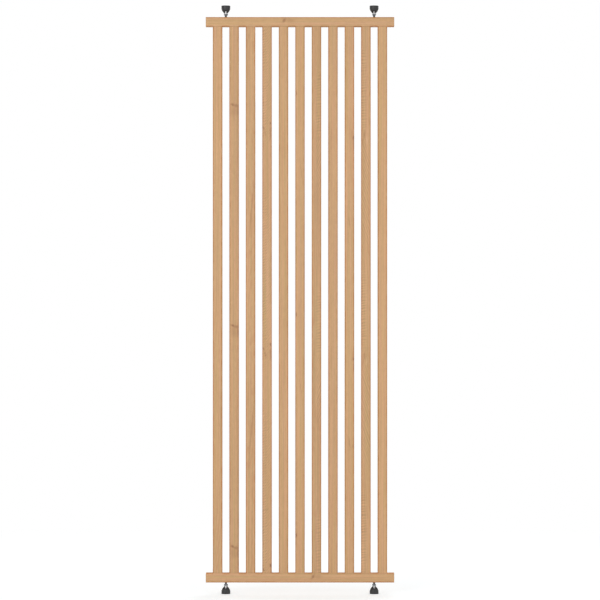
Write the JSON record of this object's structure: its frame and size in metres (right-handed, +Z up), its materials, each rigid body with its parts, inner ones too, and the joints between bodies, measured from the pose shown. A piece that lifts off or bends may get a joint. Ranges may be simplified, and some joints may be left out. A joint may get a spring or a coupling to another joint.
{
  "type": "slatted privacy screen",
  "caption": "Slatted wooden privacy screen: upright square slats between a bottom and a top rail, clamped between floor and ceiling by ball-jointed feet that screw out.",
  "frame": {"origin": "on the floor, midway between the two floor pads, under the middle of the bottom rail", "axes": "+Z up, +X along the rails to the right as seen from the front, the front faces -Y"},
  "size_m": [0.8, 0.04, 2.5],
  "materials": {
    "timber": "fine sanded softwood with a matt oil, warm tan, a few knots",
    "screw_steel": "yellow zinc plated",
    "insert_steel": "zinc plated",
    "spindle_steel": "bright plated steel, polished ball and shank, cut thread",
    "pad_plastic": "black moulded plastic, fine satin grain",
    "sole_rubber": "black non-slip rubber, matt"
  },
  "bodies": {
    "frame": {"bottom_rail": "timber", "top_rail": "timber", "slat_01": "timber", "slat_02": "timber", "slat_03": "timber", "slat_04": "timber", "slat_05": "timber", "slat_06": "timber", "slat_07": "timber", "slat_08": "timber", "slat_09": "timber", "slat_10": "timber", "slat_11": "timber", "bottom_screw_01": "screw_steel", "bottom_screw_02": "screw_steel", "bottom_screw_03": "screw_steel", "bottom_screw_04": "screw_steel", "bottom_screw_05": "screw_steel", "bottom_screw_06": "screw_steel", "bottom_screw_07": "screw_steel", "bottom_screw_08": "screw_steel", "bottom_screw_09": "screw_steel", "bottom_screw_10": "screw_steel", "bottom_screw_11": "screw_steel", "top_screw_01": "screw_steel", "top_screw_02": "screw_steel", "top_screw_03": "screw_steel", "top_screw_04": "screw_steel", "top_screw_05": "screw_steel", "top_screw_06": "screw_steel", "top_screw_07": "screw_steel", "top_screw_08": "screw_steel", "top_screw_09": "screw_steel", "top_screw_10": "screw_steel", "top_screw_11": "screw_steel", "bottom_left_foot_insert": "insert_steel", "bottom_right_foot_insert": "insert_steel", "top_left_foot_insert": "insert_steel", "top_right_foot_insert": "insert_steel"},
    "bottom_left_spindle": {"bottom_left_foot_spindle": "spindle_steel"},
    "bottom_left_pad": {"bottom_left_foot_pad": "pad_plastic", "bottom_left_foot_sole": "sole_rubber"},
    "bottom_right_spindle": {"bottom_right_foot_spindle": "spindle_steel"},
    "bottom_right_pad": {"bottom_right_foot_pad": "pad_plastic", "bottom_right_foot_sole": "sole_rubber"},
    "top_left_spindle": {"top_left_foot_spindle": "spindle_steel"},
    "top_left_pad": {"top_left_foot_pad": "pad_plastic", "top_left_foot_sole": "sole_rubber"},
    "top_right_spindle": {"top_right_foot_spindle": "spindle_steel"},
    "top_right_pad": {"top_right_foot_pad": "pad_plastic", "top_right_foot_sole": "sole_rubber"}
  },
  "joints": [
    {"name": "bottom_left_foot_screw", "type": "slide", "parent": "frame", "child": "bottom_left_spindle", "axis": [0, 0, -1], "range_m": [-0.008, 0.015]},
    {"name": "bottom_left_pad_tilt", "type": "hinge", "parent": "bottom_left_spindle", "child": "bottom_left_pad", "pos_m": [-0.315, 0, 0.0242], "axis": [1, 0, 0], "range_deg": [-15, 15]},
    {"name": "bottom_right_foot_screw", "type": "slide", "parent": "frame", "child": "bottom_right_spindle", "axis": [0, 0, -1], "range_m": [-0.008, 0.015]},
    {"name": "bottom_right_pad_tilt", "type": "hinge", "parent": "bottom_right_spindle", "child": "bottom_right_pad", "pos_m": [0.315, 0, 0.0242], "axis": [1, 0, 0], "range_deg": [-15, 15]},
    {"name": "top_left_foot_screw", "type": "slide", "parent": "frame", "child": "top_left_spindle", "axis": [0, 0, 1], "range_m": [-0.008, 0.015]},
    {"name": "top_left_pad_tilt", "type": "hinge", "parent": "top_left_spindle", "child": "top_left_pad", "pos_m": [-0.315, 0, 2.4758], "axis": [1, 0, 0], "range_deg": [-15, 15]},
    {"name": "top_right_foot_screw", "type": "slide", "parent": "frame", "child": "top_right_spindle", "axis": [0, 0, 1], "range_m": [-0.008, 0.015]},
    {"name": "top_right_pad_tilt", "type": "hinge", "parent": "top_right_spindle", "child": "top_right_pad", "pos_m": [0.315, 0, 2.4758], "axis": [1, 0, 0], "range_deg": [-15, 15]}
  ]
}
